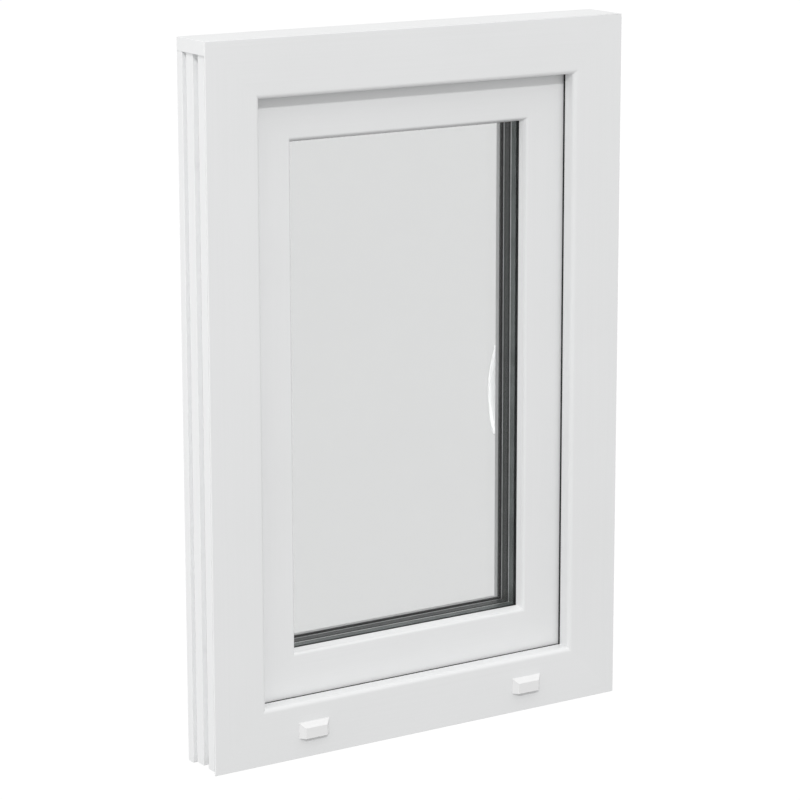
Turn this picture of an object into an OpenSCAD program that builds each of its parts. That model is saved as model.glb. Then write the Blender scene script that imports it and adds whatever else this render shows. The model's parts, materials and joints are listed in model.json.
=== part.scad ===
// Casement window: one inward-opening sash in a multi-chamber plastic frame.
// X runs to the right seen from outdoors, Y runs from outdoors into the room, Z is up.
// Every profile is drawn as a section: its first coordinate is the depth from the frame's
// outdoor face, its second the inset from the frame's outer edge.

/* [Window] */
// Overall width of the frame
window_w = 600; // [480:5:1200]
// Overall height of the frame
window_h = 900; // [620:5:1500]
// Depth of the frame profile
frame_depth = 70; // [68:1:90]
// Width of the frame's outdoor face
frame_face = 72.5; // [70:0.5:80]

/* [Frame profile] */
// Thickness of the frame's outdoor leg, from its face to the sash gasket
leg_t = 20.5; // [18:0.5:24]
// Inset of the rebate floor from the outer edge
rebate_inset = 52; // [50:1:54]
// Radius on the inner edge of the outdoor face
face_edge_r = 6; // [2:0.5:8]
// Thickness of the walls between the chambers
wall_t = 3; // [2:0.1:3.2]
// Thickness of the outdoor lip that stands past the ribs
lip_t = 3; // [2:0.1:4]
// Height of the strip that fills the outer grooves of the head
head_strip_h = 17; // [14:0.5:17]
// Wall of the galvanised steel tubes
steel_t = 1.5; // [1:0.1:2]
// Clearance round a steel tube in its chamber
steel_fit = 0.4; // [0.2:0.1:0.8]

/* [Sash profile] */
// Distance from the frame's outdoor face to the sash's outdoor face
sash_setback = 25; // [23:0.5:27]
// Depth of the sash profile that goes in a frame 70 deep; a deeper frame's is deeper by as much
sash_depth = 68; // [66:0.5:74]
// Inset of the sash's groove edge from the frame's outer edge
sash_edge = 64; // [63:0.5:66]
// Inset of the sash's room-side flange
flange_edge = 44; // [42:0.5:47]
// Thickness of the room-side flange
flange_t = 19.5; // [16:0.5:22]
// Visible width of the sash's outdoor face, from its groove edge to its bevel
sash_face = 64.4; // [60:0.2:70]
// How far the bevel leans in towards the glass
bevel_lean = 3; // [1:0.5:5]
// Thickness of the sash's outdoor leg
sash_leg = 12; // [8:0.5:14]
// Height of the rebate that holds the glass, from its floor to the edge of the leg
glass_rebate = 21.4; // [18:0.2:26]

/* [Glazing] */
// Thickness of each pane
pane_t = 4; // [3:0.5:5]
// Width of the gas gap between two panes
gas_gap = 12; // [8:0.5:14]
// Thickness of the glazing gaskets
glaze_gasket_t = 3.5; // [2.5:0.1:4.5]
// Gap between the glass edge and the rebate floor
glass_margin = 7; // [4:0.5:9]
// Height of the black spacer bars
spacer_h = 13.4; // [10:0.2:15]
// Length of one glazing block
block_len = 80; // [50:5:100]

/* [Lock and handle] */
// Height of the handle's spindle above the bottom of the frame
spindle_z = 450; // [300:5:900]
// Distance from the sash's groove edge to the spindle
backset = 25; // [25:0.5:26]
// Module of the drive teeth
gear_module = 1.5; // [1.5:0.1:1.5]
// Number of teeth on the drive pinion
gear_teeth = 15; // [15:1:15]
// Side of the square spindle
spindle_side = 7; // [6:0.5:8]
// Length of the lever below the spindle
lever_len = 130; // [100:5:150]
// How far the lever's back stands from the sash
lever_reach = 65; // [55:1:75]
// Width of the lever's grip
grip_w = 20; // [16:1:22]
// Thickness of the lever's grip
grip_t = 11; // [8:0.5:13]
// Height of one locking cam above and below the spindle
cam_offset = 230; // [140:5:270]

/* [Hinges] */
// Radius of the hinge knuckles
knuckle_r = 8; // [7:0.5:9]
// Radius of the hinge pins
pin_r = 4; // [3:0.25:5]
// Radial clearance of the pins in the sash knuckles
pin_fit = 0.06; // [0.04:0.01:0.1]
// Distance of each hinge's centre from the top or bottom of the frame
hinge_end = 110; // [90:5:150]

/* [Fixings and drainage] */
// Radius of the wall fixing holes through the jambs
fixing_r = 3.1; // [2.5:0.1:4]
// Distance of the fixing holes from the top and bottom of the frame
fixing_end = 150; // [100:5:200]
// Distance of each drain cap from the middle of the sill
drain_x = 160; // [100:5:200]
// Height of the drain slots above the bottom of the frame
drain_z = 35; // [30:1:40]
// Length of a drain cap
cap_len = 43; // [36:1:50]
// Height of a drain cap
cap_h = 20; // [16:0.5:24]
// How far a drain cap stands out from the face
cap_out = 7; // [5:0.5:9]

/* [Hidden] */
$fn = 48;
// The origin is the middle of the frame's indoor foot, so everything is moved out by this much
foot_d0 = 57;
seat_d = (foot_d0 + frame_depth) / 2;
gap = 0.3;
eps = 0.01;
big = 4000;

// Outer side of the frame: two grooves, a wide channel and two set-back ribs
rib_set = 2.6;
groove_in = 7;
channel_in = 12;
groove_a = 8.5;
rib_a = 23;
channel_b = 35;
rib_b = 52;

// Chambers of the frame
tube_d0 = 26;
tube_d1 = 58;
tube_i0 = 20;
tube_i1 = rebate_inset - wall_t - 1;
back_d0 = tube_d1 + wall_t;
leg_split = 44;
nose_wall = 2;
strip_cap_t = 2;
strip_plug = 6;
plug_fit = 0.1;
// The fixings pass through the floor of the wide outer channel
fixing_d = channel_b - fixing_r - 0.7;
fixing_mid = 30;
fixing_bore = 90;
drain_slot_l = 30;
drain_slot_h = 5;
inner_slot_x = 45;
inner_slot_l = 25;
inner_slot_w = 4;
tube_end = 2;

// Seal on the frame's leg: its bulb, its foot and how far it stands back from the leg's edge
seal_w = 5;
seal_foot_w = 3;
seal_foot_t = 1.5;
seal_edge = 0.4;

// Drain caps: shares of the height where the hood bends, and the pegs behind it
cap_front = 0.6;
cap_bend = 0.87;
cap_drop = 0.45;
cap_wall = 1.6;
peg_w = 3;
peg_h = 4;
peg_x = 13;

// Sash, glass and bead
stock_depth = 70;
sash_back = sash_setback + sash_depth + frame_depth - stock_depth;
flange_d = sash_back - flange_t;
bevel_i = sash_edge + sash_face;
leg_back = sash_setback + sash_leg;
leg_i = bevel_i + bevel_lean;
glass_floor = leg_i - glass_rebate;
glass_edge = glass_floor + glass_margin;
glass_d = leg_back + glaze_gasket_t;
unit_t = 3 * pane_t + 2 * gas_gap;
spacer_i = glass_edge + spacer_h;
bead_d = glass_d + unit_t + glaze_gasket_t;
bead_foot = 2.5;

// Hardware groove round the sash
groove_mid = 60;
plate_w = 15.4;
plate_t = 2.7;
rod_w = 10;
rod_t = 3;
rod_i = sash_edge + plate_t + gap;
hw_deep = 12;
tube2_d0 = 40;
tube2_d1 = 70;
tube2_i0 = sash_edge + hw_deep + wall_t + 1;
tube2_i1 = glass_floor - wall_t;

// Drive: pinion on the spindle, rack on the rod
spindle_i = sash_edge + backset;
pitch_r = gear_module * gear_teeth / 2;
tooth_pitch = PI * gear_module;
rod_travel = pitch_r * PI / 2;
tooth_thin = 0.12;
gear_w = 6;
case_w = 11;
case_wall = 1.5;
case_h = 84;
case_i0 = rod_i + rod_t + 0.4;
case_i1 = spindle_i + pitch_r + gear_module + gap + case_wall;
rack_len = 40;
cam_r = 5;
cam_stem_r = 3;
ridge_t = 3.1;
cam_tip = rebate_inset + ridge_t + 0.9;
keeper_h = 68;
keeper_d0 = 50.5;
keeper_w = 18;
keeper_t = 2.4;
ridge_h = 44;
ridge_d0 = 66;
ridge_w = 2.5;
keeper_screw_z = 27;
keeper_screw_d = 58;
plate_end = 95;
plate_screw = plate_end + 8;

// Hinges
hinge_i = flange_edge - knuckle_r - 2;
leaf_t = 4;
hinge_d = sash_back + leaf_t - knuckle_r;
knuckle_h = 24;
leaf_w = 46;
base_t = 3;
base_i0 = 6;
base_h = 70;
base_screw_i = 14;
base_screw_z = [-28, 12, 28];
leaf_step = knuckle_r + 4;
leaf_screw_x = [20, 36];
leaf_screw_z = [-16, 16];
pin_head = 3;
screw_r = 2.1;
screw_hole_r = screw_r + 0.1;
screw_head_r = 4;
screw_head_t = 1.6;
rod_end = plate_screw + rod_travel + screw_r + 3;

// Handle
rose_w = 30;
rose_h = 66;
rose_t = 8;
rose_screw = 21.5;
neck_r = 9;
bow_r = 140;

// ---- placing ----

// Moves depth coordinates so that the origin lies on the frame's indoor foot
module seated() {
    translate([0, -seat_d, 0]) children();
}

// Runs a section along a straight line of length run, centred, inset upwards
module bar(run) {
    rotate([90, 0, 90]) linear_extrude(run, center = true) children();
}

// Cuts both ends of a side at 45 degrees, from the outer edge to the inset deep
module mitred(run, deep) {
    intersection() {
        children();
        rotate([90, 0, 0]) linear_extrude(big, center = true)
            polygon([[-run / 2, 0], [run / 2, 0], [run / 2 - deep, deep], [-run / 2 + deep, deep]]);
    }
}

// The four sides of the window, each with its outer edge on the frame's outer edge
module bottom_side(deep) {
    mitred(window_w, deep) bar(window_w) children();
}
module top_side(deep) {
    translate([0, 0, window_h]) rotate([0, 180, 0]) mitred(window_w, deep) bar(window_w) children();
}
module hinge_side(deep) {
    translate([-window_w / 2, 0, window_h / 2]) rotate([0, 90, 0])
        mitred(window_h, deep) bar(window_h) children();
}
module lock_side(deep) {
    translate([window_w / 2, 0, window_h / 2]) rotate([0, -90, 0])
        mitred(window_h, deep) bar(window_h) children();
}
module all_sides(deep) {
    bottom_side(deep) children();
    top_side(deep) children();
    hinge_side(deep) children();
    lock_side(deep) children();
}

// A rectangle of a section, from one depth and inset to another
module block2(d0, i0, d1, i1) {
    translate([d0, i0]) square([d1 - d0, i1 - i0]);
}

// A closed ring round the window between two insets, from depth d0 to d1
module ring(i0, i1, d0, d1) {
    difference() {
        slab(i0, d0, d1);
        slab(i1, d0 - 1, d1 + 1);
    }
}
module slab(i, d0, d1) {
    translate([-window_w / 2 + i, d0, i]) cube([window_w - 2 * i, d1 - d0, window_h - 2 * i]);
}

// A cylinder along Y from depth d0 to d1, and one along X from inset i0 to i1 of the lock side
module along_y(x, z, r, d0, d1) {
    translate([x, d0, z]) rotate([-90, 0, 0]) cylinder(h = d1 - d0, r = r);
}
module along_inset(d, z, r, i0, i1) {
    translate([window_w / 2 - i1, d, z]) rotate([0, 90, 0]) cylinder(h = i1 - i0, r = r);
}

// ---- frame ----

module frame_section() {
    difference() {
        union() {
            polygon([[0, 0], [lip_t, 0], [lip_t, groove_in], [groove_a, groove_in],
                [groove_a, rib_set], [rib_a, rib_set], [rib_a, channel_in], [channel_b, channel_in],
                [channel_b, rib_set], [rib_b, rib_set], [rib_b, groove_in], [foot_d0, groove_in],
                [foot_d0, 0], [frame_depth, 0], [frame_depth, rebate_inset], [leg_t, rebate_inset],
                [leg_t, frame_face], [face_edge_r, frame_face],
                [face_edge_r, frame_face - face_edge_r], [0, frame_face - face_edge_r]]);
            translate([face_edge_r, frame_face - face_edge_r]) circle(face_edge_r);
        }
        block2(wall_t, head_strip_h + wall_t, leg_t - wall_t, leg_split);
        block2(wall_t, leg_split + wall_t, leg_t - wall_t, frame_face - wall_t - nose_wall);
        block2(tube_d0, tube_i0, tube_d1, tube_i1);
        block2(back_d0, head_strip_h + wall_t, frame_depth - wall_t, rebate_inset - wall_t);
    }
}

// The space behind the lip at the head, which the strip fills
module head_recess() {
    translate([-window_w / 2 - 1, lip_t, window_h - head_strip_h])
        cube([window_w + 2, frame_depth, head_strip_h + 1]);
}

module fixing_holes(side) {
    for (z = [fixing_end, window_h - fixing_end])
        translate([side * (window_w / 2 - fixing_mid), fixing_d, z]) rotate([0, 90, 0])
            cylinder(h = fixing_bore, r = fixing_r, center = true);
}

module drain_slot(x, z, d0, d1) {
    translate([x - drain_slot_l / 2, d0, z - drain_slot_h / 2])
        cube([drain_slot_l, d1 - d0, drain_slot_h]);
}

module frame_sill() {
    color("whitesmoke") seated() difference() {
        bottom_side(frame_face) frame_section();
        for (x = [-drain_x, drain_x]) {
            drain_slot(x, drain_z, -1, wall_t + 1);
            translate([x - inner_slot_x, leg_t + 1, rebate_inset - wall_t - 1.5])
                cube([inner_slot_l, inner_slot_w, wall_t + 2]);
        }
    }
}
module frame_head() {
    color("whitesmoke") seated() difference() {
        top_side(frame_face) frame_section();
        head_recess();
    }
}
module frame_jamb_hinge_side() {
    color("whitesmoke") seated() difference() {
        hinge_side(frame_face) frame_section();
        head_recess();
        fixing_holes(-1);
    }
}
module frame_jamb_lock_side() {
    color("whitesmoke") seated() difference() {
        lock_side(frame_face) frame_section();
        head_recess();
        fixing_holes(1);
    }
}

module tube_section(d0, i0, d1, i1) {
    difference() {
        block2(d0 + steel_fit, i0 + steel_fit, d1 - steel_fit, i1 - steel_fit);
        block2(d0 + steel_fit + steel_t, i0 + steel_fit + steel_t,
            d1 - steel_fit - steel_t, i1 - steel_fit - steel_t);
    }
}
// A square-cut tube stops short of the mitre that its chamber ends in
module frame_tube(run) {
    bar(run - 2 * (tube_i1 + tube_end)) tube_section(tube_d0, tube_i0, tube_d1, tube_i1);
}
module frame_steel_sill() {
    color("silver") seated() frame_tube(window_w);
}
module frame_steel_head() {
    color("silver") seated() translate([0, 0, window_h]) rotate([0, 180, 0]) frame_tube(window_w);
}
module frame_steel_hinge_side() {
    color("silver") seated() difference() {
        translate([-window_w / 2, 0, window_h / 2]) rotate([0, 90, 0]) frame_tube(window_h);
        fixing_holes(-1);
    }
}
module frame_steel_lock_side() {
    color("silver") seated() difference() {
        translate([window_w / 2, 0, window_h / 2]) rotate([0, -90, 0]) frame_tube(window_h);
        fixing_holes(1);
    }
}

// The strip's two hollows, one each side of its web, drawn smaller by play
module strip_hollows(play) {
    web_d = (lip_t + frame_depth) / 2;
    block2(lip_t + wall_t + play, wall_t + play, web_d - wall_t / 2 - play,
        head_strip_h - wall_t - play);
    block2(web_d + wall_t / 2 + play, wall_t + play, frame_depth - wall_t - play,
        head_strip_h - wall_t - play);
}
// Hollow strip that closes the outer grooves of the head, and the caps plugged into its ends
module head_strip() {
    color("whitesmoke") seated() translate([0, 0, window_h]) rotate([0, 180, 0])
        bar(window_w - 2 * strip_cap_t) difference() {
            block2(lip_t, 0, frame_depth, head_strip_h);
            strip_hollows(0);
        }
}
module strip_cap(side) {
    color("whitesmoke") seated() translate([side * window_w / 2, 0, window_h]) rotate([0, 180, 0]) {
        translate([side * strip_cap_t / 2, 0, 0]) bar(strip_cap_t)
            block2(lip_t, 0, frame_depth, head_strip_h);
        translate([side * (strip_cap_t + strip_plug / 2 - eps), 0, 0]) bar(strip_plug)
            strip_hollows(plug_fit);
    }
}
module strip_cap_left() {
    strip_cap(-1);
}
module strip_cap_right() {
    strip_cap(1);
}

// Black bulb seal on the back of the frame's leg, almost touching the sash
module frame_gasket() {
    color("black") seated() all_sides(frame_face) {
        block2(leg_t, frame_face - seal_w, sash_setback - gap, frame_face - seal_edge);
        block2(leg_t, frame_face - seal_w - seal_foot_w, leg_t + seal_foot_t,
            frame_face - seal_w + eps);
    }
}

// Hood over a drain slot: sloped top and ends, open underneath
module cap_shape(len, h, out) {
    intersection() {
        rotate([90, 0, 90]) linear_extrude(len, center = true)
            polygon([[0, 0], [-out, 0], [-out, h * cap_front], [-out * cap_front, h * cap_bend],
                [0, h]]);
        linear_extrude(3 * h, center = true)
            polygon([[-len / 2, 0], [-len / 2 + out * 0.8, -out], [len / 2 - out * 0.8, -out],
                [len / 2, 0]]);
    }
}
module drain_cap(x) {
    color("whitesmoke") seated() {
        difference() {
            translate([x, 0, drain_z - cap_h * cap_drop]) cap_shape(cap_len, cap_h, cap_out);
            translate([x, eps, drain_z - cap_h * cap_drop - 1])
                cap_shape(cap_len - 4 * cap_wall, cap_h - cap_wall, cap_out - cap_wall);
        }
        for (s = [-1, 1])
            translate([x + s * peg_x - peg_w / 2, -cap_out + cap_wall + 0.1, drain_z - peg_h / 2])
                cube([peg_w, cap_out + 2, peg_h]);
    }
}
module drain_cap_left() {
    drain_cap(-drain_x);
}
module drain_cap_right() {
    drain_cap(drain_x);
}

// ---- lock keepers on the frame ----

function cam_z(s) = spindle_z + s * cam_offset;

// Plate on the rebate floor; its low ridge stops short of the cam's tip
module keeper(z) {
    mid = z - rod_travel / 2;
    color("silver") seated() difference() {
        union() {
            translate([window_w / 2 - rebate_inset - keeper_t, keeper_d0, mid - keeper_h / 2])
                cube([keeper_t, keeper_w, keeper_h]);
            translate([window_w / 2 - rebate_inset - ridge_t, ridge_d0, mid - ridge_h / 2])
                cube([ridge_t, ridge_w, ridge_h]);
        }
        for (s = [-1, 1])
            along_inset(keeper_screw_d, mid + s * keeper_screw_z, screw_hole_r, rebate_inset - 1,
                rebate_inset + ridge_t + 1);
    }
}
module keeper_lower() {
    keeper(cam_z(-1));
}
module keeper_upper() {
    keeper(cam_z(1));
}
module keeper_screws() {
    color("gainsboro") seated() for (k = [-1, 1], s = [-1, 1]) {
        z = cam_z(k) - rod_travel / 2 + s * keeper_screw_z;
        along_inset(keeper_screw_d, z, screw_head_r, rebate_inset + keeper_t,
            rebate_inset + keeper_t + 0.6);
        along_inset(keeper_screw_d, z, screw_r, rebate_inset, rebate_inset + keeper_t + eps);
    }
}

// ---- hinges ----

// Frame half: a base on the indoor face of the frame and one knuckle, below the sash's
module frame_hinge(z) {
    x = -window_w / 2 + hinge_i;
    color("white") seated() difference() {
        union() {
            translate([-window_w / 2 + base_i0, frame_depth, z - base_h / 2])
                cube([hinge_i + knuckle_r - base_i0, base_t, base_h]);
            translate([x - knuckle_r, frame_depth, z - knuckle_h - gap / 2])
                cube([2 * knuckle_r, hinge_d - frame_depth, knuckle_h]);
            translate([x, hinge_d, z - knuckle_h - gap / 2]) cylinder(h = knuckle_h, r = knuckle_r);
        }
        translate([x, hinge_d, z - knuckle_h - 1]) cylinder(h = knuckle_h + 2, r = pin_r);
        for (s = base_screw_z)
            along_y(-window_w / 2 + base_screw_i, z + s, screw_hole_r, frame_depth - 1,
                frame_depth + base_t + 1);
    }
}
// Sash half: a leaf on the room side of the flange and one knuckle above the frame's
module sash_hinge(z) {
    x = -window_w / 2 + hinge_i;
    color("white") seated() difference() {
        union() {
            translate([x, sash_back, z + gap / 2]) cube([leaf_w, leaf_t, knuckle_h]);
            translate([x + leaf_step, sash_back, z - knuckle_h])
                cube([leaf_w - leaf_step, leaf_t, 2 * knuckle_h + gap / 2]);
            translate([x, hinge_d, z + gap / 2]) cylinder(h = knuckle_h, r = knuckle_r);
        }
        translate([x, hinge_d, z - 1]) cylinder(h = knuckle_h + 3, r = pin_r + pin_fit);
        for (s = leaf_screw_z, a = leaf_screw_x)
            along_y(x + a, z + s, screw_hole_r, sash_back - 1, sash_back + leaf_t + 1);
    }
}
module hinge_pin(z) {
    color("silver") seated() translate([-window_w / 2 + hinge_i, hinge_d, z - knuckle_h - gap / 2]) {
        cylinder(h = 2 * (knuckle_h + gap), r = pin_r);
        translate([0, 0, 2 * (knuckle_h + gap)]) cylinder(h = pin_head, r = pin_r + 2);
    }
}
module frame_hinge_lower() {
    frame_hinge(hinge_end);
}
module frame_hinge_upper() {
    frame_hinge(window_h - hinge_end);
}
module sash_hinge_lower() {
    sash_hinge(hinge_end);
}
module sash_hinge_upper() {
    sash_hinge(window_h - hinge_end);
}
module hinge_pin_lower() {
    hinge_pin(hinge_end);
}
module hinge_pin_upper() {
    hinge_pin(window_h - hinge_end);
}
module frame_hinge_screws() {
    color("gainsboro") seated() for (z = [hinge_end, window_h - hinge_end], s = base_screw_z) {
        along_y(-window_w / 2 + base_screw_i, z + s, screw_r, frame_depth,
            frame_depth + base_t + eps);
        along_y(-window_w / 2 + base_screw_i, z + s, screw_head_r, frame_depth + base_t,
            frame_depth + base_t + screw_head_t);
    }
}
module sash_hinge_screws() {
    x = -window_w / 2 + hinge_i;
    ends = [hinge_end, window_h - hinge_end];
    color("gainsboro") seated() for (z = ends, s = leaf_screw_z, a = leaf_screw_x) {
        along_y(x + a, z + s, screw_r, sash_back, sash_back + leaf_t + eps);
        along_y(x + a, z + s, screw_head_r, sash_back + leaf_t, sash_back + leaf_t + screw_head_t);
    }
}

// ---- sash ----

module sash_section() {
    edge_r = 4;
    groove_d = groove_mid - plate_w / 2 - gap;
    difference() {
        union() {
            polygon([[sash_setback, sash_edge], [flange_d, sash_edge], [flange_d, flange_edge],
                [sash_back - edge_r, flange_edge], [sash_back - edge_r, flange_edge + edge_r],
                [sash_back, flange_edge + edge_r], [sash_back, glass_floor],
                [leg_back, glass_floor], [leg_back, leg_i], [sash_setback + edge_r, bevel_i + 0.6],
                [sash_setback + edge_r, bevel_i - edge_r], [sash_setback, bevel_i - edge_r]]);
            translate([sash_setback + edge_r, bevel_i - edge_r]) circle(edge_r);
            translate([sash_back - edge_r, flange_edge + edge_r]) circle(edge_r);
        }
        block2(groove_d, sash_edge - 1, groove_d + plate_w + 2 * gap, sash_edge + plate_t);
        block2(groove_mid - 6, sash_edge, groove_mid + 6, sash_edge + hw_deep);
        block2(sash_setback + wall_t, sash_edge + wall_t, leg_back - wall_t, glass_floor - 1);
        block2(tube2_d0, tube2_i0, tube2_d1, tube2_i1);
        block2(flange_d + wall_t, flange_edge + 5, sash_back - wall_t, sash_edge + hw_deep);
        block2(tube2_d1 + wall_t, tube2_i0, sash_back - wall_t, tube2_i1);
    }
}
// Pocket milled in the lock stile for the gearbox, with its spindle and screw holes
module lock_pocket() {
    x = window_w / 2 - spindle_i;
    translate([window_w / 2 - case_i1 - gap, groove_mid - case_w / 2 - gap, spindle_z - case_h / 2 - gap])
        cube([case_i1 - sash_edge + gap + 1, case_w + 2 * gap, case_h + 2 * gap]);
    along_y(x, spindle_z, 7, groove_mid, sash_back + 1);
    for (s = [-1, 1])
        along_y(x, spindle_z + s * rose_screw, 2.7, groove_mid, sash_back + 1);
}
module sash_bottom_rail() {
    color("whitesmoke") seated() bottom_side(leg_i) sash_section();
}
module sash_top_rail() {
    color("whitesmoke") seated() top_side(leg_i) sash_section();
}
module sash_stile_hinge_side() {
    color("whitesmoke") seated() hinge_side(leg_i) sash_section();
}
module sash_stile_lock_side() {
    color("whitesmoke") seated() difference() {
        lock_side(leg_i) sash_section();
        lock_pocket();
    }
}
module sash_tube(run) {
    bar(run - 2 * (tube2_i1 + tube_end)) tube_section(tube2_d0, tube2_i0, tube2_d1, tube2_i1);
}
module sash_steel_bottom() {
    color("silver") seated() sash_tube(window_w);
}
module sash_steel_top() {
    color("silver") seated() translate([0, 0, window_h]) rotate([0, 180, 0]) sash_tube(window_w);
}
module sash_steel_hinge_side() {
    color("silver") seated() translate([-window_w / 2, 0, window_h / 2]) rotate([0, 90, 0])
        sash_tube(window_h);
}
module sash_steel_lock_side() {
    color("silver") seated() difference() {
        translate([window_w / 2, 0, window_h / 2]) rotate([0, -90, 0]) sash_tube(window_h);
        lock_pocket();
    }
}

// ---- glass ----

module pane(k) {
    d = glass_d + k * (pane_t + gas_gap);
    color([0.8, 0.88, 0.88, 0.35]) seated() slab(glass_edge, d, d + pane_t);
}
module outer_pane() {
    pane(0);
}
module middle_pane() {
    pane(1);
}
module inner_pane() {
    pane(2);
}
module spacer(k) {
    d = glass_d + pane_t + k * (pane_t + gas_gap);
    color("dimgray") seated() ring(glass_edge, spacer_i, d, d + gas_gap);
}
module outer_spacer() {
    spacer(0);
}
module inner_spacer() {
    spacer(1);
}
module glazing_gasket_outer() {
    color("black") seated() ring(leg_i - 6, leg_i + 0.3, leg_back, glass_d);
}
module glazing_gasket_inner() {
    color("black") seated() ring(leg_i - 6, leg_i + 0.3, glass_d + unit_t, bead_d);
}
// Blocks that carry and wedge the glass: two under it, one over it and two on each stile
module glazing_blocks() {
    d0 = glass_d + 1;
    len = unit_t - 2;
    color("royalblue") seated() {
        for (x = [-1, 1])
            translate([x * (window_w / 2 - glass_edge - block_len) - block_len / 2, d0, glass_floor])
                cube([block_len, len, glass_margin]);
        translate([-block_len / 2, d0, window_h - glass_edge]) cube([block_len, len, glass_margin]);
        for (z = [glass_edge + block_len, window_h - glass_edge - block_len]) {
            translate([-window_w / 2 + glass_floor, d0, z - block_len / 2])
                cube([glass_margin, len, block_len]);
            translate([window_w / 2 - glass_edge, d0, z - block_len / 2])
                cube([glass_margin, len, block_len]);
        }
    }
}
module bead_section() {
    difference() {
        polygon([[bead_d, glass_floor], [sash_back, glass_floor], [sash_back, leg_i - 7],
            [sash_back - 5, leg_i], [bead_d, leg_i]]);
        block2(bead_d + bead_foot, glass_floor + bead_foot, sash_back - bead_foot, leg_i - 9);
    }
}
module bead_bottom() {
    color("whitesmoke") seated() bottom_side(leg_i) bead_section();
}
module bead_top() {
    color("whitesmoke") seated() top_side(leg_i) bead_section();
}
module bead_hinge_side() {
    color("whitesmoke") seated() hinge_side(leg_i) bead_section();
}
module bead_lock_side() {
    color("whitesmoke") seated() lock_side(leg_i) bead_section();
}
// Black seal on the sash's flange, almost touching the indoor face of the frame
module sash_gasket() {
    color("black") seated() all_sides(rebate_inset) {
        block2(frame_depth + gap, flange_edge + 1, flange_d, flange_edge + 6);
    }
}

// ---- lock ----

module lock_faceplate() {
    slot = rod_travel + 2 * cam_stem_r + 1;
    color("silver") seated() difference() {
        translate([window_w / 2 - sash_edge - plate_t, groove_mid - plate_w / 2, plate_end])
            cube([plate_t, plate_w, window_h - 2 * plate_end]);
        for (s = [-1, 1])
            translate([window_w / 2 - sash_edge - plate_t - 1, groove_mid - cam_stem_r - gap,
                cam_z(s) - slot + cam_stem_r + 0.5])
                cube([plate_t + 2, 2 * (cam_stem_r + gap), slot]);
        for (z = [plate_screw, window_h - plate_screw])
            along_inset(groove_mid, z, screw_hole_r, sash_edge - 1, sash_edge + plate_t + 1);
    }
}
module faceplate_screws() {
    color("gainsboro") seated() for (z = [plate_screw, window_h - plate_screw]) {
        along_inset(groove_mid, z, screw_r, sash_edge - eps, sash_edge + hw_deep);
        along_inset(groove_mid, z, screw_head_r, sash_edge - 1.2, sash_edge);
    }
}
// Case of the drive, open towards the rod
module gearbox_case() {
    x = window_w / 2 - spindle_i;
    color("silver") seated() difference() {
        translate([window_w / 2 - case_i1, groove_mid - case_w / 2, spindle_z - case_h / 2])
            cube([case_i1 - case_i0, case_w, case_h]);
        translate([window_w / 2 - case_i1 + case_wall, groove_mid - case_w / 2 + case_wall,
            spindle_z - case_h / 2 + case_wall])
            cube([case_i1, case_w - 2 * case_wall, case_h - 2 * case_wall]);
        along_y(x, spindle_z, 6, groove_mid - case_w, groove_mid + case_w);
        for (s = [-1, 1])
            along_y(x, spindle_z + s * rose_screw, 2.5, groove_mid, groove_mid + case_w);
    }
}

// Rack tooth centres lie half a pitch either side of the spindle's height
module rack_teeth() {
    add = 1.2;
    ded = 1.7;
    half = tooth_pitch / 4 - tooth_thin;
    lean = tan(20);
    for (k = [-4 : 3])
        translate([0, (k + 0.5) * tooth_pitch])
            polygon([[ded + eps, half + ded * lean], [ded + eps, -half - ded * lean],
                [-add, -half + add * lean], [-add, half - add * lean]]);
}
// Flat rod under the faceplate, with the rack that the pinion drives
module drive_rod() {
    rack_x = window_w / 2 - spindle_i + pitch_r;
    color("silver") seated() {
        difference() {
            translate([window_w / 2 - rod_i - rod_t, groove_mid - rod_w / 2, rod_end])
                cube([rod_t, rod_w, window_h - 2 * rod_end]);
            for (s = [-1, 1])
                along_inset(groove_mid, cam_z(s), cam_stem_r - 0.5, rod_i - 1, rod_i + rod_t + 1);
        }
        translate([rack_x + 1.7, groove_mid - gear_w / 2, spindle_z - rack_len / 2])
            cube([window_w / 2 - rod_i - rod_t - rack_x - 1.7 + eps, gear_w, rack_len]);
        translate([rack_x, groove_mid + gear_w / 2, spindle_z]) rotate([90, 0, 0])
            linear_extrude(gear_w) rack_teeth();
    }
}
module locking_cams() {
    color("gainsboro") seated() for (s = [-1, 1]) {
        along_inset(groove_mid, cam_z(s), cam_r, cam_tip, sash_edge - gap);
        along_inset(groove_mid, cam_z(s), cam_stem_r, sash_edge - gap - eps, rod_i);
        along_inset(groove_mid, cam_z(s), cam_stem_r - 0.5, rod_i - eps, rod_i + rod_t);
    }
}

function involute(a) = tan(a) * 180 / PI - a;
// Half the angle of a pinion tooth at radius r
function tooth_half(r) = 90 / gear_teeth - tooth_thin / pitch_r * 180 / PI + involute(20)
    - involute(acos(min(1, pitch_r * cos(20) / r)));
module drive_pinion() {
    tip = pitch_r + 1.35;
    root = pitch_r - 1.6;
    base = pitch_r * cos(20);
    steps = 6;
    radii = concat([root], [for (k = [0 : steps]) base + (tip - base) * k / steps]);
    flank = [for (r = radii) [r, tooth_half(max(r, base))]];
    last = len(flank) - 1;
    outline = [for (t = [0 : gear_teeth - 1], k = [0 : 2 * last + 1])
        let (p = k <= last ? flank[k] : flank[2 * last + 1 - k])
        let (a = 360 / gear_teeth * t + (k <= last ? -p[1] : p[1]))
        [p[0] * cos(a), p[0] * sin(a)]];
    color("gray") seated() translate([window_w / 2 - spindle_i, groove_mid + gear_w / 2, spindle_z])
        rotate([90, 0, 0]) linear_extrude(gear_w) difference() {
            polygon(outline);
            square(spindle_side, center = true);
        }
}

// ---- handle ----

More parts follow.
